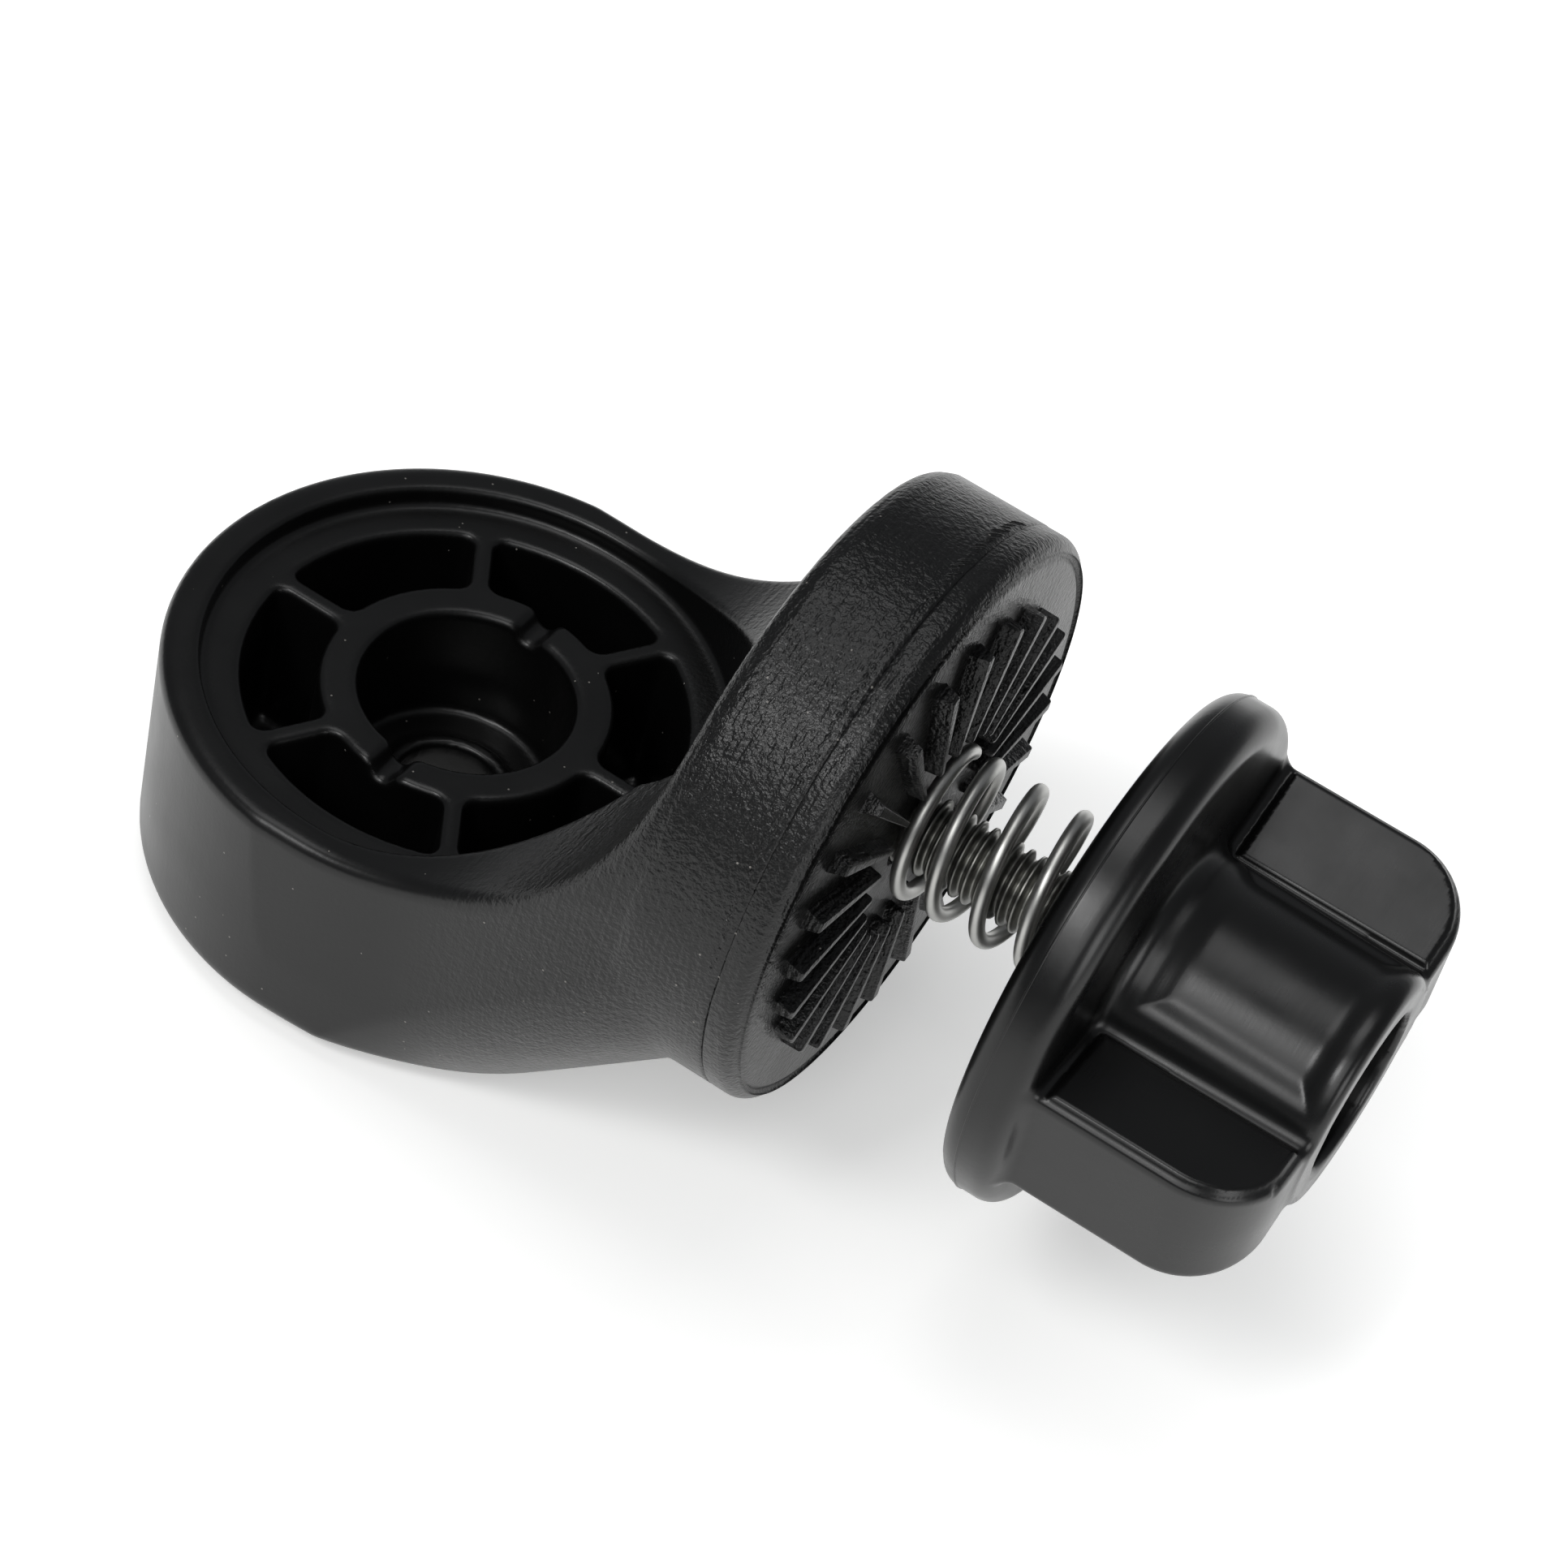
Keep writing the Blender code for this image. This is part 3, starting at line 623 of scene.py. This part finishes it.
flash = {
    "dots": 110, "dotStation": 33.5, "dotFrom": 96.0, "dotTo": 176.0,  # degrees round the joint axis
    "hatches": 34, "hatchStation": 33.55, "hatchFrom": 64.0, "hatchTo": 97.0, "hatchSlant": 50.0,
    "turnJitter": 0.3, "stationJitter": 0.18, "scale": (0.6, 1.25),
    "dot": (0.24, 0.16, 0.1), "hatch": (0.62, 0.12, 0.12),  # mm, half length, half width and half height
    "rows": 7, "columns": 12, "top": 78,  # each ball's rings, its sides, and the last ring's latitude
}


def flashSkin():
    # Small flattened balls where the mould's halves meet. Each is cos p cos q, cos p sin q and sin p
    # times its own half length, half width and half height, laid on the rim: dots along it, and
    # slanting hatches.
    f = flash
    random = np.random.default_rng(5)
    count = f["dots"] + f["hatches"]
    isDot = np.arange(count) < f["dots"]
    around = np.concatenate([np.linspace(f["dotFrom"], f["dotTo"], f["dots"]),
                             np.linspace(f["hatchFrom"], f["hatchTo"], f["hatches"])])
    around = np.radians(around + random.uniform(-f["turnJitter"], f["turnJitter"], count))
    station = np.where(isDot, f["dotStation"], f["hatchStation"])
    station = station + random.uniform(-f["stationJitter"], f["stationJitter"], count)
    size = random.uniform(*f["scale"], count)
    length, width, height = (size * np.where(isDot, dot, hatch) for dot, hatch in zip(f["dot"], f["hatch"]))
    slant = np.radians(np.where(isDot, 90.0, f["hatchSlant"]))
    outward = np.stack([0 * around, np.cos(around), np.sin(around)], 1)
    level = np.stack([0 * around, np.sin(around), -np.cos(around)], 1)
    forward = np.array([[1.0, 0, 0]])
    long = np.cos(slant)[:, None] * forward + np.sin(slant)[:, None] * level
    cross = np.cos(slant)[:, None] * level - np.sin(slant)[:, None] * forward
    rows, columns = f["rows"], f["columns"]
    p = np.radians(np.linspace(-f["top"], f["top"], rows))[None, :, None]
    q = np.radians(np.arange(columns) * 360 / columns)[None, None, :]
    parts = [length[:, None, None] * np.cos(p) * np.cos(q),
             width[:, None, None] * np.cos(p) * np.sin(q),
             height[:, None, None] * np.sin(p) + 0 * q]
    centre = eyeRadius * outward + station[:, None] * forward + np.array([[0, 0, eyeHeight]])
    balls = centre[:, None, None]
    for part, way in zip(parts, (long, cross, outward)):
        balls = balls + part[..., None] * way[:, None, None]
    one = gridFaces(rows, columns, False, True).tolist()
    one += [list(range(columns))[::-1], list(range((rows - 1) * columns, rows * columns))]
    faces = [[v + k * rows * columns for v in face] for k in range(count) for face in one]
    return balls.reshape(-1, 3), faces


toothPoints, toothFaces = toothRing()
faceTeeth = placed(toothPoints, (face["front"], 0, eyeHeight), (0, 1, 0), (0, 0, 1), (1, 0, 0))
footTeeth = placed(toothPoints, (0, 0, body["foot"]), (1, 0, 0), (0, -1, 0), (0, 0, -1))

makePiece("pivot_moulding", [surfaceOf(bodyField, bodyGrid)], bodyNylon, "pivot",
          ["pivot_body"])
makePiece("joint_face", [turnedSkin(faceProfile(), 288)], bodyNylon, "pivot")
makePiece("parting_flash", [flashSkin()], bodyNylon, "pivot")
makePiece("joint_teeth", [(faceTeeth, toothFaces)], bodyNylon, "pivot", sharp=35)
makePiece("foot_teeth", [(footTeeth, toothFaces)], bodyNylon, "pivot", sharp=35)


# Bolt: hexagon head and M6 thread.

bolt = {
    "flats": 10.0, "headBack": 28.3, "headFront": 32.3, "headRound": 0.15, "end": 71.2,
    "major": 2.98, "minor": 2.42, "pitch": 1.0,
    "flank": 1.45, "root": 0.2,                # steepness of the thread's wave, and its flat at the root
    "endDrop": 0.1, "endSlope": 0.9,           # the last turns run in to a cone
    "into": 0.6, "spacing": 0.1, "sides": 48,  # mm inside the head, mm between rings, points round
}
fineGrid = 0.16  # mm, for the bolt's head and the nut
hexReach = 6.2   # mm from the joint axis, more than their corners


def chamferedHexagon(solid, r, flats, depth, slope=1.73):
    # A cone takes off a hexagon's corners: it is as wide as the flats at the end face, and slope
    # wider in radius for each millimetre of depth. Halved, it is close to a distance.
    return np.maximum(solid, (r - flats / 2 - depth * slope) * 0.5)


def headField(x, y, z):
    v = z - eyeHeight
    ends = slab(x, bolt["headBack"], bolt["headFront"])
    head = roundOut(hexagon(y, v, bolt["flats"]), ends, bolt["headRound"])
    return chamferedHexagon(head, np.hypot(y, v), bolt["flats"], x - bolt["headBack"])


def threadSkin():
    # Radius at a station and an angle: a rounded wave between minor and major that repeats every
    # pitch and moves on by one pitch for each turn. Both ends run in to the axis.
    b = bolt
    station = np.arange(b["headFront"] - b["into"], b["end"] + 0.001, b["spacing"])
    angle = 2 * math.pi * np.arange(b["sides"]) / b["sides"]
    s, a = np.meshgrid(station, angle, indexing="ij")
    phase = np.mod(s / b["pitch"] - a / (2 * math.pi), 1.0)
    wave = np.clip(b["flank"] * np.abs(2 * phase - 1) - b["root"], 0, 1)
    radius = b["minor"] + (b["major"] - b["minor"]) * (3 * wave ** 2 - 2 * wave ** 3)
    radius = np.minimum(radius, b["minor"] - b["endDrop"] + (b["end"] - s) * b["endSlope"])
    points = np.stack([s, radius * np.cos(a), eyeHeight + radius * np.sin(a)], 2).reshape(-1, 3)
    faces = gridFaces(len(station), len(angle), False, True)[:, ::-1].tolist()
    count = len(angle)
    last = (len(station) - 1) * count
    faces += [list(range(count)), list(range(last, last + count))[::-1]]
    return points, faces


def hexGrid(low, high):
    return [spaced((low, high, fineGrid)), spaced((-hexReach, hexReach, fineGrid)),
            spaced((eyeHeight - hexReach, eyeHeight + hexReach, fineGrid))]


makePiece("threaded_bolt", [surfaceOf(headField, hexGrid(27.9, 32.7)), threadSkin()], platedSteel,
          "pivot", ["axle_bolt"])


# Compression spring.

spring = {
    "start": 37.1, "end": 54.0, "radius": 5.6, "wire": 0.6,
    "turns": 5.2, "closed": 0.25, "ramp": 1.0,
    "closePitch": 2.1,      # of the closed turns, in wire radii
    "startAngle": 42.0,     # degrees round the joint axis, from +Y towards +Z
    "aside": (0.8, 0.8),    # mm along Y and Z, the coil is wider than the bolt and sits off its axis
    "endRound": 0.25, "endDraw": 0.35,  # mm of wire that its cut ends are rounded over, and how far
    "lineStretch": 0.04,    # the drawing lines change that much slower along the wire
    "sides": 24, "perTurn": 72,
}


def springStations(turn):
    # close turns at both ends, a ramp of growing pitch, and open turns between
    s = spring
    closePitch = s["closePitch"] * s["wire"]
    length = s["end"] - s["start"] - 2 * s["wire"]
    openTurns = s["turns"] - 2 * (s["closed"] + s["ramp"])
    openPitch = (length - closePitch * (2 * s["closed"] + s["ramp"])) / (openTurns + s["ramp"])
    count = np.minimum(turn, s["turns"] - turn)
    ramped = np.clip(count - s["closed"], 0, s["ramp"])
    travel = np.minimum(count, s["closed"]) * closePitch + ramped * closePitch
    travel += (openPitch - closePitch) / s["ramp"] * ramped ** 2 / 2
    travel += np.maximum(count - s["closed"] - s["ramp"], 0) * openPitch
    first = s["start"] + s["wire"] + travel
    return np.where(turn <= s["turns"] / 2, first, s["end"] - s["wire"] - travel)


def springSkin():
    # A circle of the wire's radius carried along a helix: after t turns its centre is at the coil's
    # radius and angle 2 pi t, at the station that springStations gives, and the circle stands square
    # to the path. The third result is each point's place along and round the wire, for the lines.
    s = spring
    turn = np.linspace(0, s["turns"], round(s["turns"] * s["perTurn"]) + 1)
    angle = 2 * math.pi * turn + math.radians(s["startAngle"])
    station = springStations(turn)
    out = np.stack([np.zeros_like(angle), np.cos(angle), np.sin(angle)], 1)
    centre = s["radius"] * out + np.stack([station, 0 * angle, 0 * angle], 1)
    forward = np.gradient(centre, axis=0)
    forward /= np.linalg.norm(forward, axis=1)[:, None]
    aside = np.cross(forward, out)
    around = 2 * math.pi * np.arange(s["sides"]) / s["sides"]
    ends = np.minimum(turn, s["turns"] - turn) * 2 * math.pi * s["radius"]
    wire = s["wire"] * np.sqrt(1 - np.clip(1 - ends / s["endRound"], 0, 1) ** 2 * s["endDraw"])
    tube = centre[:, None] + wire[:, None, None] * (
        np.cos(around)[None, :, None] * out[:, None] + np.sin(around)[None, :, None] * aside[:, None])
    tube += np.array([0, s["aside"][0], eyeHeight + s["aside"][1]])
    rows, count = len(turn), s["sides"]
    faces = gridFaces(rows, count, False, True).tolist()
    faces += [list(range(count)), list(range((rows - 1) * count, rows * count))[::-1]]
    length = np.repeat((turn * 2 * math.pi * s["radius"])[:, None], count, 1)
    lines = np.stack([length * s["lineStretch"], np.cos(around) * s["wire"] + 0 * length,
                      np.sin(around) * s["wire"] + 0 * length], 2)
    return tube.reshape(-1, 3), faces, lines.reshape(-1, 3) * mm


springPoints, springFaces, springLines = springSkin()
springPiece = makePiece("compression_spring", [(springPoints, springFaces)], wireSteel,
                        "pivot", ["spring"])
wireAttribute = springPiece.data.attributes.new("wire", "FLOAT_VECTOR", "POINT")
wireAttribute.data.foreach_set("vector", springLines.ravel().astype(np.float32))


# Seat washer.

washer = {"back": 54.3, "front": 55.3, "outer": 7.5, "inner": 3.3, "round": 0.15}


def washerProfile():
    w = washer
    r = w["round"]
    outline = arcPoints((w["back"] + r, w["outer"] - r), r, 180, 90, 3)
    outline += arcPoints((w["front"] - r, w["outer"] - r), r, 90, 0, 3)
    outline += arcPoints((w["front"] - r, w["inner"] + r), r, 0, -90, 3)
    outline += arcPoints((w["back"] + r, w["inner"] + r), r, -90, -180, 3)
    return outline


makePiece("thrust_washer", [turnedSkin(washerProfile(), 128)], platedSteel, "seat",
          ["seat_washer"], 40)


# Wing knob.

knob = {
    "tilt": -8.0, "flangeBack": 51.4, "flangeFront": 56.3, "flange": 20.1, "flangeRound": 1.8,
    "end": 73.6, "boss": 9.7, "bossTaper": 0.4, "bossFillet": 1.4, "endRound": 0.9,
    "panelStart": 59.2, "panelEnd": 71.4, "panelHalf": 6.9, "panelDepth": 0.65, "panelSlope": 2.2,
    "reach": 18.1, "tipRound": 6.2, "wingFront": 73.4, "half": 1.5, "flare": 0.22,
    "edgeRound": 0.7, "wingFillet": 0.9,
    "padStart": 57.1, "padEnd": 73.0, "padIn": 9.4, "padOut": 17.7, "padCorner": 5.7,
    "padRaise": 0.45, "padSlope": 0.45,
    "cup": 7.8, "cupFloor": 55.6, "cupCorner": 0.5, "cupRound": 0.4, "bore": 3.3, "boreRound": 0.3,
    "pocket": 65.2, "pocketFlats": 10.6, "pocketRound": 0.15,
    "recess": 6.4, "recessFloor": 70.6, "recessRound": 0.5,
    "dimples": ((13.4, -4.2), (-14.9, 4.7)), "dimple": 0.5,  # mm along and across the wings, and radius
    # mm, the mould's parting line round the flange, which starts ridgeDepth under its surface
    "ridge": 53.1, "ridgeHalf": 0.22, "ridgeTop": 0.05, "ridgeRise": 0.07, "ridgeDepth": 0.3,
}
tilt = math.radians(knob["tilt"])


def knobPlane(y, z):
    # along the wings and across their thickness
    up = z - eyeHeight
    return -y * math.cos(tilt) + up * math.sin(tilt), -y * math.sin(tilt) - up * math.cos(tilt)


def knobField(x, y, z):
    # A round flange, a boss with a flat panel on each side, and two wings with raised pads, joined.
    # Then the cup for the spring, the bore, the nut's pocket, its recess and two dimples are cut.
    k = knob
    u, v = knobPlane(y, z)
    r = np.hypot(u, v)
    reach, thick = np.abs(u), np.abs(v)
    flangeHalf = (k["flangeFront"] - k["flangeBack"]) / 2
    flangeEnds = np.abs(x - (k["flangeBack"] + k["flangeFront"]) / 2) - flangeHalf
    solid = roundOut(r - k["flange"], flangeEnds, k["flangeRound"])
    along = np.clip((x - k["flangeFront"]) / (k["end"] - k["flangeFront"]), 0, 1)
    panel = np.maximum(slab(x, k["panelStart"], k["panelEnd"]), reach - k["panelHalf"])
    hollow = k["panelDepth"] * step(-panel, -k["panelSlope"] / 2, k["panelSlope"] / 2)
    bossRadius = k["boss"] - k["bossTaper"] * along - hollow
    behind = k["flangeBack"] + overlap - x
    boss = roundOut(r - bossRadius, np.maximum(x - k["end"], behind), k["endRound"])
    solid = roundIn(solid, boss, k["bossFillet"])
    pad = np.maximum(roundOut(x - k["padEnd"], reach - k["padOut"], k["padCorner"]),
                     np.maximum(k["padStart"] - x, k["padIn"] - reach))
    side = thick - k["half"] - k["flare"] * reach - k["padRaise"] * step(-pad, 0, k["padSlope"])
    outline = roundOut(reach - k["reach"], x - k["wingFront"], k["tipRound"])
    wing = roundOut(side / math.hypot(1, k["flare"]), np.maximum(outline, behind), k["edgeRound"])
    solid = roundIn(solid, wing, k["wingFillet"])
    cup = roundOut(r - k["cup"], x - k["cupFloor"], k["cupCorner"])
    solid = cut(solid, cup, k["cupRound"])
    solid = cut(solid, r - k["bore"], k["boreRound"])
    pocket = np.maximum(hexagon(u, v, k["pocketFlats"]), k["pocket"] - x)
    solid = cut(solid, pocket, k["pocketRound"])
    solid = cut(solid, np.maximum(r - k["recess"], k["recessFloor"] - x), k["recessRound"])
    for dimpleAlong, dimpleAcross in k["dimples"]:
        squares = (u - dimpleAlong) ** 2 + (v - dimpleAcross) ** 2 + (x - k["wingFront"]) ** 2
        solid = np.maximum(solid, k["dimple"] - np.sqrt(squares))
    return np.maximum(solid, x - k["end"])


def ridgeProfile():
    # outline of the parting line in (station, radius)
    k = knob
    low, high = k["flange"] - k["ridgeDepth"], k["flange"] + k["ridgeRise"]
    return [(k["ridge"] + k["ridgeHalf"], low), (k["ridge"] - k["ridgeHalf"], low),
            (k["ridge"] - k["ridgeTop"], high), (k["ridge"] + k["ridgeTop"], high)]


knobGrid = [
    spaced((50.9, 74.1, 0.26)),
    spaced((-20.6, 20.6, 0.28)),
    spaced((eyeHeight - 20.6, eyeHeight + 20.6, 0.28)),
]
knobSkins = [surfaceOf(knobField, knobGrid), turnedSkin(ridgeProfile(), 256)]
makePiece("wing_knob_moulding", knobSkins, wingNylon, "knob", ["wing_knob"])


# Captive nut.

nut = {"back": 65.5, "front": 70.5, "flats": 10.0, "round": 0.1, "bore": 3.15, "boreRound": 0.35}


def nutField(x, y, z):
    u, v = knobPlane(y, z)
    r = np.hypot(u, v)
    solid = roundOut(hexagon(u, v, nut["flats"]), slab(x, nut["back"], nut["front"]), nut["round"])
    depth = np.minimum(x - nut["back"], nut["front"] - x)
    solid = chamferedHexagon(solid, r, nut["flats"], depth)
    return cut(solid, r - nut["bore"], nut["boreRound"])


makePiece("hexagon_nut", [surfaceOf(nutField, hexGrid(65.1, 70.9))], platedSteel, "knob",
          ["captive_nut"])

# the knob's 8 mm of travel leaves 0.527 of the spring's 16.9 mm
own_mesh(springPiece)


# Floor, lights and camera.

studio = {
    "floor": 3.0, "floorColour": "#f4f4f3", "world": "#dfe2e6", "worldStrength": 0.27,
    "paper": ("#f0f0ef", "#f8f8f7"), "paperCloud": 60.0,  # mm, slow changes of shade
    "paintedShadowGlow": (0.36, 0.7),     # the sheet glows in place of lamplight, weaker close to the object: a painted contact shadow
    "shade": (30.0, 85.0),   # mm from the object's middle where the painted shadow starts to lift and where it ends
    "lens": 98.44, "azimuth": 19.9, "elevation": 44.6, "roll": 16.9, "distance": 0.3108,
    "aim": (25.0, 0.0, 28.25),  # station, across and height in mm
    "shift": (0.00987, -0.00730),
    # each softbox's place and aim in metres, the side of its square, and its power in watts
    "softboxes": {
        "front_softbox": ((0.1, -0.9, 1.0), (0.0, 0.0, 0.02), 0.8, 5.0),
        "zenith_softbox": ((-0.25, 0.08, 1.1), (0.0, 0.0, 0.02), 0.6, 2.8),
        "key_softbox": ((-0.29, -0.69, 0.94), (0.0, 0.0, 0.03), 0.28, 3.6),
        "side_softbox": ((0.8, -0.35, 0.35), (0.02, 0.0, 0.03), 0.4, 2.0),
    },
}


def makeFloor():
    half = studio["floor"] / 2
    mesh = bpy.data.meshes.new("studio_floor")
    corners = [(-half, -half, 0), (half, -half, 0), (half, half, 0), (-half, half, 0)]
    mesh.from_pydata(corners, [], [(0, 1, 2, 3)])
    material, tree, shader, place = newMaterial("matt_paper_floor")
    paper = addNode(tree, "ShaderNodeTexNoise", {
        "Vector": place, "Scale": perMetre(studio["paperCloud"]), "Detail": 2.0})
    blendedColour(tree, shader, paper.outputs["Fac"], *studio["paper"])
    setShader(shader, {"Roughness": 0.9, "Specular IOR Level": 0.2})
    middle = ((baseAxis + studio["aim"][0]) * mm, 0, 0)
    # painted contact shadow: the floor's glow is weaker within the shade distances of the object's middle
    away = addNode(tree, "ShaderNodeVectorMath", {0: place, 1: middle}, operation="DISTANCE")
    paintedShadowGlow = addNode(tree, "ShaderNodeMapRange", {
        "Value": away.outputs["Value"],
        "From Min": studio["shade"][0] * mm, "From Max": studio["shade"][1] * mm,
        "To Min": studio["paintedShadowGlow"][0], "To Max": studio["paintedShadowGlow"][1]})
    tree.links.new(paintedShadowGlow.outputs["Result"], shader.inputs["Emission Strength"])
    shader.inputs["Emission Color"].default_value = linearColour(studio["floorColour"])
    mesh.materials.append(material)
    floor = bpy.data.objects.new("studio_floor", mesh)
    scene.collection.objects.link(floor)


def addSoftbox(name, place, aim, side, power):
    lamp = bpy.data.lights.new(name, "AREA")
    lamp.shape, lamp.size, lamp.size_y, lamp.energy = "RECTANGLE", side, side, power
    box = bpy.data.objects.new(name, lamp)
    box.location = place
    scene.collection.objects.link(box)
    direction = np.array(aim) - np.array(place)
    box.rotation_euler = Vector(direction).to_track_quat("-Z", "Y").to_euler()


def makeWorld():
    world = bpy.data.worlds.new("studio_world")
    world.use_nodes = True
    background = world.node_tree.nodes["Background"]
    background.inputs["Color"].default_value = linearColour(studio["world"])
    background.inputs["Strength"].default_value = studio["worldStrength"]
    scene.world = world


def makeCamera():
    s = studio
    azimuth, elevation, roll = (math.radians(s[key]) for key in ("azimuth", "elevation", "roll"))
    back = Vector((math.sin(azimuth) * math.cos(elevation), -math.cos(azimuth) * math.cos(elevation),
                   math.sin(elevation)))
    level = Vector((math.cos(azimuth), math.sin(azimuth), 0))
    right = level * math.cos(roll) + back.cross(level) * math.sin(roll)
    above = back.cross(right)
    aim = Vector(((baseAxis + s["aim"][0]) * mm, s["aim"][1] * mm, s["aim"][2] * mm))
    data = bpy.data.cameras.new("studio_camera")
    data.lens, data.sensor_width, data.clip_start = s["lens"], 36.0, 0.01
    data.shift_x, data.shift_y = s["shift"]
    camera = bpy.data.objects.new("studio_camera", data)
    turn = Matrix((right, above, back)).transposed().to_4x4()
    camera.matrix_world = Matrix.Translation(aim + back * s["distance"]) @ turn
    scene.collection.objects.link(camera)
    scene.camera = camera


makeFloor()
makeWorld()
makeCamera()
for name, values in studio["softboxes"].items():
    addSoftbox(name, *values)
scene.view_settings.view_transform = "Standard"
print("stage ready")
